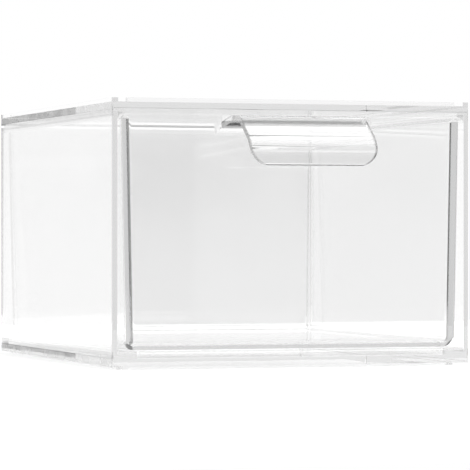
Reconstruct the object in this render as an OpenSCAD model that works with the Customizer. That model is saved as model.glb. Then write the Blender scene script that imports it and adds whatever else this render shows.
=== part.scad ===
// Clear stackable drawer box: an open-fronted case bonded from five clear mouldings, and one moulded
// drawer that slides in it. Millimetres, +Z up, X across the width, front towards -Y. The origin is the
// middle of the footprint, pull included, on the surface that the foot ring stands on.

/* [Case] */
// Outside width of the case
case_w = 162; // [120:1:260]
// Outside depth of the case, front to back
case_d = 196; // [120:1:320]
// Overall height, from the foot ring to the top of the stacking rim
case_h = 115; // [75:1:200]
// Thickness of the side and back walls
wall_t = 2.3; // [2:0.1:4]
// Radius of the case's four upright outer corners
case_corner_r = 0.6; // [0.4:0.1:1.8]
// Glue line left between two bonded pieces
glue_gap = 0.1; // [0.05:0.01:0.2]

/* [Cover] */
// Thickness of the cover plate
cover_t = 3; // [2:0.1:5]
// How far the cover's edge band hangs below the underside of its plate, down to the wall joint
cover_lip = 0.8; // [0.4:0.1:3]
// How far the cover's locating rib reaches down inside the walls, below the wall joint
cover_rib_h = 1; // [0.6:0.1:3]
// Thickness of that rib, and the reach of the rounded beads that run back from the opening's corners
cover_rib_t = 2.5; // [2:0.1:4]
// Blunt edge left where a rounded bead runs out
bead_edge = 0.2; // [0.1:0.05:0.4]
// Height of the stacking rim above the cover plate
rim_h = 1.7; // [1.2:0.1:4]
// Width of the stacking rim
rim_t = 2.7; // [1.5:0.1:5]
// Open notch between two rails of the rim, at each corner
rim_notch = 4; // [2:0.5:15]

/* [Base] */
// Thickness of the base plate
base_t = 3.4; // [2:0.1:4.5]
// How far the base's edge band stands above the top of its plate, up to the wall joint
base_lip = 1.5; // [0.4:0.1:3]
// How far the sill and the rails reach up inside the walls, above the wall joint
rail_h = 1.7; // [0.8:0.1:3]
// Width of the two rails that the drawer slides on
rail_w = 9; // [8:0.5:20]
// Thickness of the sill in the opening, and of the same rib along the back
sill_t = 2.8; // [2:0.1:5]
// How far the foot ring stands below the base plate
foot_drop = 1.2; // [0.6:0.1:1.2]
// Thickness of the foot ring
foot_t = 2.5; // [1.5:0.1:5]
// Radius of the foot ring's outer corners
foot_corner_r = 5; // [3:0.5:15]
// Sideways clearance between the foot ring and the rim of the box below
stack_gap = 1.5; // [0.4:0.1:3]

/* [Drawer] */
// Thickness of the drawer's front panel
panel_t = 2.5; // [2:0.1:4]
// Thickness of the drawer's side and back walls
side_t = 2.5; // [1.5:0.1:4]
// Thickness of the drawer's floor
floor_t = 2.4; // [1.5:0.1:4]
// Moulding draft of the drawer's sides and back, in degrees
draft = 1.1; // [0.3:0.1:2]
// Radius along the drawer's outer bottom edges
bottom_r = 4.5; // [4:0.1:8]
// Radius of the upright corners at the front panel
front_corner_r = 1.5; // [0.8:0.1:2.5]
// Radius inside those corners
front_fillet_r = 2; // [0.5:0.1:3]
// Radius of the upright corners at the back
back_corner_r = 1.5; // [1:0.1:4.5]
// Radius of the panel's two top corners, seen from the front
panel_corner_r = 2.5; // [1:0.1:5]
// How much lower the side and back walls are than the front panel
side_drop = 1.3; // [0.3:0.1:20]
// How far the front panel is set back from the case's front edge
panel_recess = 0.2; // [0:0.1:4]
// Clearance between the drawer's sides and the case walls, at the top
side_gap = 2; // [0.6:0.1:3]
// Clearance behind the drawer, at the top
back_gap = 1.2; // [0.5:0.1:5]
// Clearance between the panel's top and the cover's rib
top_gap = 0.7; // [0.4:0.1:2]
// Running clearance under the drawer
floor_gap = 0.3; // [0.2:0.05:1]

/* [Pull] */
// Width of the pull
pull_w = 56.4; // [35:0.2:90]
// How far the pull's flap stands out from the case's front edge
pull_reach = 28; // [22:0.5:30]
// Height of the pull, from the panel's top to the flap's lower edge
pull_drop = 21.7; // [20:0.1:35]
// Thickness of the pull
pull_t = 2.4; // [1.6:0.1:3.2]
// Level length of the pull's root, from the case's front edge
pull_root = 11; // [9.5:0.5:13]
// How steeply the pull falls from its root to its flap, in degrees
pull_slope = 35; // [25:1:37]
// Outer radius of the bend between root and slope
root_bend_r = 4; // [3.5:0.5:8]
// Outer radius of the bend between slope and upright flap
flap_bend_r = 13; // [6:0.5:16]
// Radius of the flap's two lower corners
flap_corner_r = 8.5; // [3:0.5:12]
// Radius of the fillet under the pull's root
root_fillet_r = 6; // [2:0.5:7]
// Radius of the flare at each end of the root
root_flare_r = 7.5; // [7:0.5:8]

/* [Hidden] */
$fn = 48;
clear_plastic = [0.93, 0.95, 0.96, 0.4];

// Levels
base_top_z = foot_drop + base_t;
wall_foot_z = base_top_z + base_lip;
rail_top_z = wall_foot_z + rail_h;
cover_top_z = case_h - rim_h;
cover_under_z = cover_top_z - cover_t;
wall_head_z = cover_under_z - cover_lip;
header_z = wall_head_z - cover_rib_h;
panel_top_z = header_z - top_gap;
side_top_z = panel_top_z - side_drop;
drawer_z = rail_top_z + floor_gap;

// Front and back of the case, with the pull's reach shared over both ends of the footprint
front_y = (pull_reach - case_d) / 2;
back_y = front_y + case_d;
mid_y = (front_y + back_y) / 2;

// The bay inside the walls, and what is glued into it
bay_half_w = case_w / 2 - wall_t;
bay_back_y = back_y - wall_t;
plug_half_w = bay_half_w - glue_gap;
plug_back_y = bay_back_y - glue_gap;
foot_inset = rim_t + stack_gap;

// The drawer's faces at its top edge
drawer_half_w = bay_half_w - side_gap;
drawer_back_y = bay_back_y - back_gap;
panel_y = front_y + panel_recess;
pull_end_z = panel_top_z - pull_drop;

slice = 0.01;
reach_past = 1;

// A rectangle with four rounded corners, centred on the origin
module rounded_rect(w, d, r) {
    square([w - 2 * r, d], center = true);
    square([w, d - 2 * r], center = true);
    for (x = [-1, 1], y = [-1, 1])
        translate([x * (w / 2 - r), y * (d / 2 - r)]) circle(r);
}

// The case's outline, drawn in by inset all round, from z up by h
module case_block(inset, r, z, h) {
    translate([0, mid_y, z])
        linear_extrude(h) rounded_rect(case_w - 2 * inset, case_d - 2 * inset, r);
}

// The plug that fits inside the walls: flush with the case at the front, short of the wall at the back.
// side_inset draws it in at both sides, and end_inset at the front and the back.
module bay_plug(side_inset, end_inset, z, h) {
    depth = plug_back_y - front_y - 2 * end_inset;
    translate([side_inset - plug_half_w, front_y + end_inset, z])
        cube([2 * (plug_half_w - side_inset), depth, h]);
}

// Cover: a plate with an edge band on the walls, a locating rib inside them and the stacking rim on top
module top_cover() {
    color(clear_plastic) {
        difference() {
            union() {
                case_block(0, case_corner_r, wall_head_z, cover_top_z - wall_head_z);
                bay_plug(0, 0, header_z, cover_under_z - header_z);
            }
            bay_plug(cover_rib_t, cover_rib_t, header_z - reach_past, cover_under_z - header_z + reach_past);
        }
        for (side = [-1, 1]) corner_bead(side);
        stacking_rim();
    }
}

// Rounded bead that runs back along one upper corner of the bay
module corner_bead(side) {
    length = plug_back_y - front_y;
    translate([side * plug_half_w, plug_back_y, header_z]) rotate([90, 0, 0])
        linear_extrude(length) mirror([side > 0 ? 1 : 0, 0])
            difference() {
                translate([0, -cover_rib_t]) square([cover_rib_t, cover_rib_t + cover_rib_h / 2]);
                translate([cover_rib_t, -cover_rib_t]) circle(cover_rib_t - bead_edge);
            }
}

// Four rails, flush with the case's edges and parted by an open notch at each corner
module stacking_rim() {
    cross_half_w = case_w / 2 - rim_t - rim_notch;
    intersection() {
        case_block(0, case_corner_r, cover_under_z, case_h - cover_under_z);
        union() {
            for (side = [-1, 1])
                translate([side * (case_w - rim_t) / 2, mid_y, (cover_under_z + case_h) / 2])
                    cube([rim_t, case_d, case_h - cover_under_z], center = true);
            for (end = [-1, 1])
                translate([0, mid_y + end * (case_d - rim_t) / 2, (cover_under_z + case_h) / 2])
                    cube([2 * cross_half_w, rim_t, case_h - cover_under_z], center = true);
        }
    }
}

// One side wall, between the edge bands of the base and the cover
module side_wall(side) {
    h = wall_head_z - wall_foot_z - 2 * glue_gap;
    color(clear_plastic)
        intersection() {
            case_block(0, case_corner_r, wall_foot_z + glue_gap, h);
            translate([side * (case_w - wall_t) / 2, mid_y, case_h / 2])
                cube([wall_t, case_d, case_h], center = true);
        }
}

module left_wall() { side_wall(-1); }

module right_wall() { side_wall(1); }

// Back wall, between the side walls
module back_wall() {
    h = wall_head_z - wall_foot_z - 2 * glue_gap;
    color(clear_plastic)
        translate([-plug_half_w, bay_back_y, wall_foot_z + glue_gap]) cube([2 * plug_half_w, wall_t, h]);
}

// Base: a plate with an edge band under the walls, a sill, a back rib and two rails inside them, and a
// foot ring that nests in the rim of the box below
module base() {
    color(clear_plastic)
        difference() {
            union() {
                case_block(0, case_corner_r, foot_drop, wall_foot_z - foot_drop);
                bay_plug(0, 0, base_top_z, rail_top_z - base_top_z);
                case_block(foot_inset, foot_corner_r, 0, foot_drop + base_t / 2);
            }
            bay_plug(rail_w, sill_t, base_top_z, rail_top_z - base_top_z + reach_past);
            case_block(foot_inset + foot_t, foot_corner_r - foot_t, -reach_past, foot_drop + reach_past);
        }
}

// Half width and back face of the drawer at height z, drawn in by the moulding draft
function half_w_at(z) = drawer_half_w - (panel_top_z - z) * tan(draft);
function back_y_at(z) = drawer_back_y - (panel_top_z - z) * tan(draft);

// A tray-shaped block with drafted sides and rounded bottom edges. It lies inset inside the drawer's
// sides and front_inset behind the panel's face, and r0 is the radius of its bottom edges.
module tray_block(inset, front_inset, z0, z1, r0, front_r, back_r) {
    knee_z = z0 + r0;
    hull()
        for (x = [-1, 1]) {
            translate([x * (half_w_at(knee_z) - inset - r0), panel_y + front_inset + r0, knee_z]) sphere(r0);
            translate([x * (half_w_at(knee_z) - inset - r0), back_y_at(knee_z) - inset - r0, knee_z])
                sphere(r0);
            for (z = [knee_z, z1 - slice]) {
                translate([x * (half_w_at(z) - inset - front_r), panel_y + front_inset + front_r, z])
                    cylinder(r = front_r, h = slice);
                translate([x * (half_w_at(z) - inset - back_r), back_y_at(z) - inset - back_r, z])
                    cylinder(r = back_r, h = slice);
            }
        }
}

// Drawer: one moulding of tray, front panel and pull
module drawer() {
    inner_back_r = max(back_corner_r - side_t, back_corner_r / 3);
    color(clear_plastic)
        union() {
            difference() {
                tray_block(0, 0, drawer_z, panel_top_z, bottom_r, front_corner_r, back_corner_r);
                tray_block(side_t, panel_t, drawer_z + floor_t, panel_top_z + reach_past,
                           bottom_r - side_t, front_fillet_r, inner_back_r);
                translate([-case_w / 2, panel_y + panel_t, side_top_z])
                    cube([case_w, case_d, side_drop + reach_past]);
                for (side = [-1, 1]) panel_corner_cut(side);
            }
            pull();
        }
}

// What is taken off one top corner of the front panel
module panel_corner_cut(side) {
    translate([side * (drawer_half_w - panel_corner_r), panel_y - reach_past, panel_top_z - panel_corner_r])
        rotate([-90, 0, 0]) mirror([side > 0 ? 0 : 1, 0])
            linear_extrude(panel_t + 2 * reach_past)
                difference() {
                    translate([0, -panel_corner_r - reach_past])
                        square([panel_corner_r + reach_past, panel_corner_r + reach_past]);
                    circle(panel_corner_r);
                }
}

// The area under the pull's outer face, with x forward from the case's front edge and y up: a level
// root, a slope and an upright flap, joined by two round bends. inset leads to the sheet's other face.
module under_pull(inset) {
    normal = [sin(pull_slope), cos(pull_slope)];
    root_centre = [pull_root - root_bend_r * tan(pull_slope / 2), panel_top_z - root_bend_r];
    flap_corner_z = panel_top_z - (pull_reach - pull_root) * tan(pull_slope);
    flap_centre = [pull_reach - flap_bend_r, flap_corner_z - flap_bend_r * tan(45 - pull_slope / 2)];
    polygon([[-case_h, panel_top_z - inset], [root_centre.x, panel_top_z - inset],
             root_centre + (root_bend_r - inset) * normal, flap_centre + (flap_bend_r - inset) * normal,
             [pull_reach - inset, flap_centre.y], [pull_reach - inset, -case_h], [-case_h, -case_h]]);
    translate(root_centre) circle(root_bend_r - inset);
    translate(flap_centre) circle(flap_bend_r - inset);
}

// The pull's section: a bent sheet with a round lower edge
module pull_section() {
    edge_r = pull_t / 2;
    root_x = -panel_recess - panel_t / 2;
    intersection() {
        difference() {
            under_pull(0);
            under_pull(pull_t);
        }
        translate([root_x, pull_end_z + edge_r]) square([pull_reach - root_x, pull_drop]);
    }
    translate([pull_reach - edge_r, pull_end_z + edge_r]) circle(edge_r);
}

// The section of the fillet between the panel and the underside of the pull's root
module root_fillet() {
    translate([-panel_recess, panel_top_z - pull_t - root_fillet_r])
        difference() {
            translate([-panel_t / 2, 0]) square([root_fillet_r + panel_t / 2, root_fillet_r + pull_t / 2]);
            translate([root_fillet_r, 0]) circle(root_fillet_r);
        }
}

// The root's plan: as wide as the pull, with a concave flare that blends each end into the panel
module root_plan() {
    translate([0, panel_y]) {
        translate([-pull_w / 2, -root_flare_r]) square([pull_w, root_flare_r + panel_t / 2]);
        for (side = [-1, 1])
            mirror([side > 0 ? 0 : 1, 0]) translate([pull_w / 2, 0])
                difference() {
                    translate([-pull_t / 2, -root_flare_r])
                        square([root_flare_r + pull_t / 2, root_flare_r + panel_t / 2]);
                    translate([root_flare_r, -root_flare_r]) circle(root_flare_r);
                }
    }
}

// The pull's outline from the front, with its two lower corners rounded
module pull_outline() {
    translate([0, pull_end_z + pull_drop]) rounded_rect(pull_w, 2 * pull_drop, flap_corner_r);
}

// A section with x forward and y up, drawn out to width w across the middle of the case's front
module across(w) {
    translate([0, front_y, 0]) rotate([0, 0, -90]) rotate([90, 0, 0])
        linear_extrude(w, center = true) children();
}

// Pull: a bent sheet that leaves the panel's top edge level, slopes down and ends in an upright flap
module pull() {
    intersection() {
        across(pull_w) pull_section();
        translate([0, panel_y + panel_t, 0]) rotate([90, 0, 0])
            linear_extrude(pull_reach + panel_recess + panel_t) pull_outline();
    }
    translate([0, 0, panel_top_z - pull_t]) linear_extrude(pull_t) root_plan();
    intersection() {
        across(pull_w + 2 * root_flare_r) root_fillet();
        translate([0, 0, pull_end_z]) linear_extrude(pull_drop - pull_t / 2) root_plan();
    }
}

top_cover();
left_wall();
right_wall();
back_wall();
base();
drawer();
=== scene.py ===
"""Clear stackable drawer box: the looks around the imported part. Metres, in the CAD's own frame."""

import math

import bpy
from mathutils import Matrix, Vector


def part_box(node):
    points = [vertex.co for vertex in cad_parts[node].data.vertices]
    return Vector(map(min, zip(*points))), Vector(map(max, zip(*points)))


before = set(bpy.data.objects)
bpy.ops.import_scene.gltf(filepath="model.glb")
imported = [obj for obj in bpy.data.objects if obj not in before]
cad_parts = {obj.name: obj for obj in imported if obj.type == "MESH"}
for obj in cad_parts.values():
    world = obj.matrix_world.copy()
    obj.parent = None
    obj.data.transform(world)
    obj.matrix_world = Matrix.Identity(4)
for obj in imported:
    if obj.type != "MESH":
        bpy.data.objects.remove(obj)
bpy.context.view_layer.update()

MM = 0.001

# The camera of the photograph: level, 1.3 m away, turned 18 degrees to the left of the front
CAMERA_AT = (-0.4259, -1.2994, 0.057)
CAMERA_TURN = -18.19
CAMERA_LENS = 229.8
SENSOR = 36.0

# Clear acrylic, with its flow waves and scuffs
PLASTIC_IOR = 1.49
PLASTIC_ABSORPTION = 1.2
WAVE_SCALE = 22.0
WAVE_HEIGHT = 0.04 * MM
SCUFF_SCALE = 160.0
SCUFF_ROUGHNESS = 0.04
# Light that has been turned this often inside the plastic is taken to come from the white room
GUIDED_DEPTH = 10.5
GUIDED_TURNS = 3.5
CASE_GUIDED_LIGHT = 0.78
DRAWER_GUIDED_LIGHT = 0.68
# How much of a lamp's light passes each surface, for the shadow on the table
LAMP_PASS = 0.965
# The brightness of a painted highlight and the grey of a matt mark
PAINTED_HIGHLIGHT_GLOW = 1.2
MATT_GREY = 0.62

# Small moulded edge radii, and the faces that are welded and shaded as one
EDGE_R = 0.3 * MM
EDGE_ANGLE = math.radians(35)
SMOOTH_ANGLE = math.radians(30)
WELD = 0.002 * MM

# Sizes of the drawer that its painted shade is placed by: wall thickness, moulding draft, the back of its
# front panel, how far its front lines lie outside the walls' inner faces and its back lines from the outer
# corners, and the pull's half width, corner radius and lower end
DRAWER_WALL = 2.5 * MM
DRAWER_DRAFT = math.radians(1.1)
PANEL_BACK = -81.3 * MM
FRONT_LINE_OUT = 0.4 * MM
BACK_LINE_R = 1.3 * MM
PULL_HALF_W = 28.2 * MM
PULL_CORNER_R = 8.5 * MM
PULL_END_Z = 86.1 * MM

# Heights in the case that its painted shade and painted highlight are placed by: the glue seam under the back
# of the cover, the middle of the cover's rib, and the groove along the sill that the painted shade leaves
# light
SEAM_Z = 110.05 * MM
RIB_Z = 109.2 * MM
GROOVE_Z = 7.1 * MM

# Marks painted into the plastic: painted shade where clear plastic looks dark, a painted highlight and a matt
# skin.
# Each has a strength and its edges; across an edge it eases from nothing at the first place to all at the
# second, in mm along the distance named. Y and Z are the CAD's, aside is the distance from the middle plane,
# and places() and the functions that use each table give the others.
# painted shade on the drawer: black mixed into the plastic along its corner lines, around its pull and on its
# flap
DRAWER_PAINTED_SHADE = [
    # the line in each front upright corner
    (0.6, [("front_corner", 1.65, 1.3), ("Z", 106.4, 105.9)]),
    # the fainter line in each back upright corner
    (0.16, [("back_corner", 0.7, 0.4)]),
    # the rim of the pull's rounded corners, and the flap near its end
    (0.28, [("pull_corner", 7.9, 8.3), ("Y", -96, -100)]),
    (0.015, [("Z", 95, 93), ("Y", -96, -100)]),
    # the fillet under the pull's root
    (0.45, [("Z", 102.2, 102.6), ("Z", 105.8, 105.5), ("Y", -84.3, -84.6), ("Y", -91, -90)]),
]
# painted shade on the case: black mixed into the plastic along its seam, its side walls' foot and head and
# its sill
CASE_PAINTED_SHADE = [
    # the glue seam under the back of the cover
    (0.5, [("seam", 0.3, 0.2), ("Y", 107, 109)]),
    # the foot and the head of the side walls' outer faces
    (0.22, [("Z", 4.6, 4.8), ("Z", 7.9, 7.5), ("outer", 80.3, 80.7)]),
    (0.17, [("Z", 107.0, 107.4), ("Z", 110.5, 110.3), ("outer", 80.3, 80.7)]),
    # the front of the sill, but for its groove
    (0.18, [("Z", 4.8, 5.2), ("Z", 8.0, 7.7), ("Y", -83.3, -83.7), ("groove", 0.2, 0.4), ("aside", 71, 69)]),
]
# painted shade on the back wall, more towards its top, in soft clouds
CASE_SHADE_CLOUDS = [(0.035, [("Z", 30, 108), ("Z", 109.45, 109.35), ("Y", 109.0, 109.5)])]
# a painted highlight: the cover's rib along the back glows white
CASE_PAINTED_HIGHLIGHT = [(0.5, [("rib", 0.6, 0.5), ("Y", 106.9, 107.0)])]
# the side edges of the cover's plate and of the base's, in blotches
CASE_MATT = [
    (1.0, [("Z", 110.2, 110.4), ("Z", 113.4, 113.2), ("outer", 80.8, 80.95)]),
    (1.0, [("Z", 4.7, 4.5), ("outer", 80.8, 80.95)]),
]
CLOUD_SCALE = 22.0
BLOTCH_SCALE = 90.0

# Brightness of the studio, where 1 is white: the dark room, its camera's side below and above the horizon,
# its left and right sides, the canopy overhead with a strip in front of it, the haze in front, and the sky
# that lights the table
ROOM = 0.06
FRONT_LOW = 0.13
FRONT_HIGH = 0.02
SIDES = 0.45
CANOPY = 1.9
HAZE = 0.35
SKY = 1.0

# The overhead softbox, which lights the table and isn't seen
LAMP = 3.0
LAMP_AT = (0.08, -0.4, 1.1)
LAMP_SIZE = 0.9

# The table: its width, how far it reaches behind and in front of the origin, its grey, and how bright it
# glows beyond a ring around the object
TABLE_W = 1.6
TABLE_FAR = 0.55
TABLE_NEAR = 0.6
TABLE_GREY = 0.82
TABLE_GLOW = 0.3
GLOW_FROM = 0.16
GLOW_FULL = 0.32


class Shader:
    """A small helper that adds nodes to one tree and links them."""

    def __init__(self, tree):
        self.tree = tree
        tree.nodes.clear()

    def node(self, kind, values=(), **settings):
        """Adds a node, sets its plain settings, then its inputs from (input, value or output) pairs."""
        made = self.tree.nodes.new(kind)
        for name, value in settings.items():
            setattr(made, name, value)
        for key, value in values:
            if isinstance(value, bpy.types.NodeSocket):
                self.tree.links.new(value, made.inputs[key])
            else:
                made.inputs[key].default_value = value
        return made

    def math(self, operation, a, b=0.0):
        return self.node("ShaderNodeMath", [(0, a), (1, b)], operation=operation).outputs[0]

    def length(self, a, b):
        """The length of a flat vector."""
        squares = self.math("ADD", self.math("POWER", a, 2.0), self.math("POWER", b, 2.0))
        return self.math("POWER", squares, 0.5)

    def off(self, value, middle):
        """How far value is from middle, either way."""
        return self.math("ABSOLUTE", self.math("SUBTRACT", value, middle))

    def ramp(self, value, low, high, to_low=0.0, to_high=1.0):
        """value from low..high, eased to to_low..to_high."""
        values = [("Value", value), ("From Min", low), ("From Max", high), ("To Min", to_low)]
        values.append(("To Max", to_high))
        return self.node("ShaderNodeMapRange", values, interpolation_type="SMOOTHSTEP").outputs["Result"]

    def noise(self, place, scale, detail):
        values = [("Vector", place), ("Scale", scale), ("Detail", detail)]
        return self.node("ShaderNodeTexNoise", values).outputs[0]

    def marks(self, table, at):
        """The strongest of a table's marks at each place."""
        strongest = 0.0
        for strength, edges in table:
            for along, nothing_at, all_at in edges:
                edge = self.ramp(at[along], nothing_at * MM, all_at * MM)
                strength = self.math("MULTIPLY", strength, edge)
            strongest = self.math("MAXIMUM", strongest, strength)
        return strongest

    def even(self, kind, level):
        """A shader of that kind with an even grey."""
        return self.node(kind, [("Color", (level, level, level, 1.0))]).outputs[0]

    def emission(self, strength):
        """White light, of an even strength or from an output."""
        values = [("Color", (1.0, 1.0, 1.0, 1.0)), ("Strength", strength)]
        return self.node("ShaderNodeEmission", values).outputs[0]

    def mix(self, factor, a, b):
        return self.node("ShaderNodeMixShader", [(0, factor), (1, a), (2, b)]).outputs[0]


def material(name):
    made = bpy.data.materials.new(name)
    made.use_nodes = True
    return made, Shader(made.node_tree)


def places(s, place):
    """The distances that both finishes' marks are placed by."""
    at = s.node("ShaderNodeSeparateXYZ", [(0, place)]).outputs
    aside = s.math("ABSOLUTE", at["X"])
    # a metre less on the inner side of a surface, which no mark reaches
    outer = s.math("SUBTRACT", aside, s.node("ShaderNodeNewGeometry").outputs["Backfacing"])
    return {"Y": at["Y"], "Z": at["Z"], "aside": aside, "outer": outer}


def drawer_painted_shade(s, place):
    """How much painted shade darkens the drawer's upright corners and where its pull bends or ends."""
    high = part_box("drawer")[1]
    at = places(s, place)
    drawn_in = s.math("MULTIPLY", s.math("SUBTRACT", high[2], at["Z"]), math.tan(DRAWER_DRAFT))
    line_x = s.math("SUBTRACT", high[0] - DRAWER_WALL + FRONT_LINE_OUT, drawn_in)
    from_line = s.math("SUBTRACT", at["aside"], line_x)
    at["front_corner"] = s.length(from_line, s.math("SUBTRACT", at["Y"], PANEL_BACK))
    outside = s.math("SUBTRACT", at["aside"], s.math("SUBTRACT", high[0], drawn_in))
    beyond = s.math("SUBTRACT", at["Y"], s.math("SUBTRACT", high[1], drawn_in))
    at["back_corner"] = s.off(s.length(outside, beyond), BACK_LINE_R)
    side_of = s.math("MAXIMUM", s.math("SUBTRACT", at["aside"], PULL_HALF_W - PULL_CORNER_R), 0.0)
    under = s.math("MAXIMUM", s.math("SUBTRACT", PULL_END_Z + PULL_CORNER_R, at["Z"]), 0.0)
    at["pull_corner"] = s.length(side_of, under)
    return s.marks(DRAWER_PAINTED_SHADE, at)


def case_painted_shade(s, place):
    """How much painted shade darkens the case's seams and outer edges and, in clouds, its back wall."""
    at = places(s, place)
    at["seam"] = s.off(at["Z"], SEAM_Z)
    at["groove"] = s.off(at["Z"], GROOVE_Z)
    clouds = s.ramp(s.noise(place, CLOUD_SCALE, 2.0), 0.35, 0.6, 0.7, 1.3)
    shade_clouds = s.math("MULTIPLY", s.marks(CASE_SHADE_CLOUDS, at), clouds)
    return s.math("MAXIMUM", s.marks(CASE_PAINTED_SHADE, at), shade_clouds)


def case_painted_highlight(s, place):
    """How far the painted highlight on the cover's rib along the back glows white."""
    at = places(s, place)
    at["rib"] = s.off(at["Z"], RIB_Z)
    return s.marks(CASE_PAINTED_HIGHLIGHT, at)


def case_matt(s, place):
    """How matt the side edges of the cover and base plates are."""
    blotches = s.ramp(s.noise(place, BLOTCH_SCALE, 2.0), 0.35, 0.65, 0.2, 0.5)
    return s.math("MULTIPLY", s.marks(CASE_MATT, places(s, place)), blotches)


def clear_plastic(name, seed, guided_light, painted_shade, glow=None, matt=None):
    """Clear moulded plastic: faint flow waves and scuffs, dark along long paths, open to lamps, and with the
    marks that three functions place: painted shade, a painted white highlight and a matt skin."""
    made, s = material(name)
    place = s.node("ShaderNodeTexCoord").outputs["Object"]
    shifted = s.node("ShaderNodeVectorMath", [(0, place), (1, (seed, 0.3 * seed, 0.7 * seed))]).outputs[0]
    waves = s.noise(shifted, WAVE_SCALE, 1.5)
    height = [("Strength", 1.0), ("Distance", WAVE_HEIGHT), ("Height", waves)]
    bump = s.node("ShaderNodeBump", height).outputs[0]
    rough = s.ramp(s.noise(shifted, SCUFF_SCALE, 4.0), 0.45, 0.75, 0.0, SCUFF_ROUGHNESS)
    plastic = s.node(
        "ShaderNodeBsdfPrincipled",
        [
            ("Base Color", (1.0, 1.0, 1.0, 1.0)),
            ("Roughness", rough),
            ("IOR", PLASTIC_IOR),
            ("Transmission Weight", 1.0),
            ("Normal", bump),
        ],
    ).outputs[0]
    rays = s.node("ShaderNodeLightPath").outputs
    long_path = s.math("GREATER_THAN", rays["Ray Depth"], GUIDED_DEPTH)
    many_turns = s.math("GREATER_THAN", rays["Glossy Depth"], GUIDED_TURNS)
    plastic = s.mix(s.math("MAXIMUM", long_path, many_turns), plastic, s.emission(guided_light))
    # painted shade: the plastic turns black where the painted shade lies
    plastic = s.mix(painted_shade(s, place), plastic, s.emission(0.0))
    if glow:
        # painted highlight: the plastic glows white where the highlight lies
        plastic = s.mix(glow(s, place), plastic, s.emission(PAINTED_HIGHLIGHT_GLOW))
    if matt:
        plastic = s.mix(matt(s, place), plastic, s.even("ShaderNodeBsdfDiffuse", MATT_GREY))
    lamp_ray = s.math("MAXIMUM", rays["Is Shadow Ray"], rays["Is Diffuse Ray"])
    surface = s.mix(lamp_ray, plastic, s.even("ShaderNodeBsdfTransparent", LAMP_PASS))
    absorbed = [("Color", (0.0, 0.0, 0.0, 1.0)), ("Density", PLASTIC_ABSORPTION)]
    inside = s.node("ShaderNodeVolumeAbsorption", absorbed).outputs[0]
    s.node("ShaderNodeOutputMaterial", [("Surface", surface), ("Volume", inside)])
    return made


def smooth_group():
    """A modifier's node group that shades smoothly over all but sharp edges."""
    group = bpy.data.node_groups.new("smooth_by_angle", "GeometryNodeTree")
    group.interface.new_socket("Geometry", in_out="INPUT", socket_type="NodeSocketGeometry")
    group.interface.new_socket("Geometry", in_out="OUTPUT", socket_type="NodeSocketGeometry")
    s = Shader(group)
    came_in = s.node("NodeGroupInput").outputs[0]
    faces = s.node(
        "GeometryNodeSetShadeSmooth",
        [("Geometry", came_in), ("Shade Smooth", True)],
        domain="FACE",
    )
    angle = s.node("GeometryNodeInputMeshEdgeAngle").outputs["Unsigned Angle"]
    low = s.node("FunctionNodeCompare", [("A", angle), ("B", SMOOTH_ANGLE)], operation="LESS_EQUAL")
    edges = s.node(
        "GeometryNodeSetShadeSmooth",
        [("Geometry", faces.outputs[0]), ("Shade Smooth", low.outputs[0])],
        domain="EDGE",
    )
    s.node("NodeGroupOutput", [(0, edges.outputs[0])])
    return group


def dress(node, finish, smooth):
    """A CAD node gets its material, joined-up faces, small moulded edge radii and smooth shading."""
    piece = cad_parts[node]
    for slot in piece.material_slots:
        slot.material = finish
    weld = piece.modifiers.new("weld", "WELD")
    weld.merge_threshold = WELD
    edges = piece.modifiers.new("edges", "BEVEL")
    edges.width = EDGE_R
    edges.segments = 2
    edges.limit_method = "ANGLE"
    edges.angle_limit = EDGE_ANGLE
    piece.modifiers.new("smooth", "NODES").node_group = smooth
    normals = piece.modifiers.new("normals", "WEIGHTED_NORMAL")
    normals.weight = 100
    normals.keep_sharp = True


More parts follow.
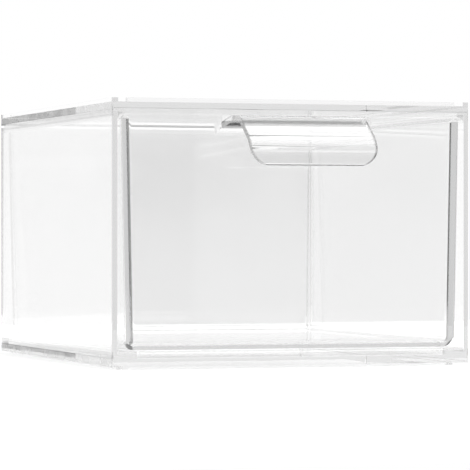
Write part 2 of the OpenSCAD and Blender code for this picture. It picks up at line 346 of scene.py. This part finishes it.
def make_world():
    """White for the camera and for what shows through the box. What the plastic reflects is a plain studio: a
    white wall behind, grey sides, a dim side towards the camera, and above them a dark room with a bright
    canopy overhead, a bright strip in front of it and a haze. Places are parts of a direction, where Z is 1
    overhead, Y is 1 straight behind the object and -1 straight in front."""
    world = bpy.data.worlds.new("studio")
    bpy.context.scene.world = world
    world.use_nodes = True
    s = Shader(world.node_tree)
    way = s.node("ShaderNodeTexCoord").outputs["Generated"]
    axes = s.node("ShaderNodeSeparateXYZ", [(0, way)]).outputs
    front = s.ramp(axes["Z"], -0.03, 0.03, FRONT_LOW, FRONT_HIGH)
    around = s.ramp(axes["Y"], -0.75, -0.45, front, SIDES)
    around = s.math("ADD", around, s.ramp(axes["Y"], 0.45, 0.65, 0.0, 1.0 - SIDES))
    near_horizon = s.ramp(s.math("ABSOLUTE", axes["Z"]), 0.5, 0.35)
    level = s.math("ADD", ROOM, s.math("MULTIPLY", near_horizon, s.math("SUBTRACT", around, ROOM)))
    canopy = s.math("MULTIPLY", s.ramp(axes["Z"], 0.8, 0.85), s.ramp(axes["Y"], 0.45, 0.4))
    strip = s.math("MULTIPLY", s.ramp(axes["Z"], 0.41, 0.44), s.ramp(axes["Z"], 0.56, 0.53))
    strip = s.math("MULTIPLY", strip, s.ramp(axes["Y"], -0.4, -0.6))
    haze = s.math("MULTIPLY", s.ramp(axes["Z"], 0.2, 0.3), s.ramp(axes["Y"], 0.0, -0.2))
    level = s.math("ADD", level, s.math("MULTIPLY", s.math("ADD", canopy, strip), CANOPY))
    level = s.math("ADD", level, s.math("MULTIPLY", haze, HAZE))
    rays = s.node("ShaderNodeLightPath").outputs
    unreflected = s.math("LESS_THAN", rays["Glossy Depth"], 0.5)
    straight = s.math("MULTIPLY", unreflected, s.ramp(axes["Z"], 0.4, 0.25))
    straight = s.math("MAXIMUM", straight, rays["Is Camera Ray"])
    diffuse = s.math("MULTIPLY", rays["Is Diffuse Ray"], SKY)
    not_diffuse = s.math("SUBTRACT", 1.0, rays["Is Diffuse Ray"])
    shown = s.math("MULTIPLY", s.math("MAXIMUM", level, straight), not_diffuse)
    light = [("Color", (1.0, 1.0, 1.0, 1.0)), ("Strength", s.math("ADD", shown, diffuse))]
    s.node("ShaderNodeOutputWorld", [("Surface", s.node("ShaderNodeBackground", light).outputs[0])])


def make_floor():
    """A pale table with the object's soft shadow. Away from the object it glows a little, for the camera and
    for what shows through the box, so that it is white there."""
    bpy.ops.mesh.primitive_plane_add(size=1.0)
    floor = bpy.context.object
    floor.name = "floor"
    floor.scale = (TABLE_W, TABLE_FAR + TABLE_NEAR, 1.0)
    floor.location = (0.0, (TABLE_FAR - TABLE_NEAR) / 2, 0.0)
    made, s = material("floor_white")
    place = s.node("ShaderNodeNewGeometry").outputs["Position"]
    away = s.node("ShaderNodeVectorMath", [(0, place)], operation="LENGTH").outputs["Value"]
    rays = s.node("ShaderNodeLightPath").outputs
    seen = s.math("MAXIMUM", rays["Is Camera Ray"], rays["Is Glossy Ray"])
    seen = s.math("MAXIMUM", seen, rays["Is Transmission Ray"])
    glow = s.math("MULTIPLY", seen, s.ramp(away, GLOW_FROM, GLOW_FULL, 0.0, TABLE_GLOW))
    plain = s.even("ShaderNodeBsdfDiffuse", TABLE_GREY)
    both = s.node("ShaderNodeAddShader", [(0, plain), (1, s.emission(glow))]).outputs[0]
    s.node("ShaderNodeOutputMaterial", [("Surface", both)])
    floor.data.materials.append(made)


def make_lamp():
    """A square softbox of even brightness, aimed at the origin."""
    data = bpy.data.lights.new("overhead", "AREA")
    data.shape = "SQUARE"
    data.size = LAMP_SIZE
    data.energy = LAMP * math.pi * LAMP_SIZE * LAMP_SIZE
    lamp = bpy.data.objects.new("overhead", data)
    lamp.location = LAMP_AT
    lamp.rotation_euler = (-Vector(LAMP_AT)).to_track_quat("-Z", "Y").to_euler()
    lamp.visible_camera = False
    lamp.visible_glossy = False
    lamp.visible_transmission = False
    bpy.context.collection.objects.link(lamp)


def make_camera():
    data = bpy.data.cameras.new("camera")
    data.sensor_width = SENSOR
    data.lens = CAMERA_LENS
    data.clip_end = 100
    camera = bpy.data.objects.new("camera", data)
    camera.location = CAMERA_AT
    camera.rotation_euler = (math.radians(90), 0, math.radians(CAMERA_TURN))
    bpy.context.collection.objects.link(camera)
    bpy.context.scene.camera = camera


smooth = smooth_group()
case_finish = clear_plastic(
    "case_plastic_clear", 3.0, CASE_GUIDED_LIGHT, case_painted_shade, case_painted_highlight, case_matt
)
drawer_finish = clear_plastic("drawer_plastic_clear", 11.0, DRAWER_GUIDED_LIGHT, drawer_painted_shade)
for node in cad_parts:
    dress(node, drawer_finish if node == "drawer" else case_finish, smooth)
make_world()
make_floor()
make_lamp()
make_camera()
bpy.context.scene.view_settings.view_transform = "Standard"
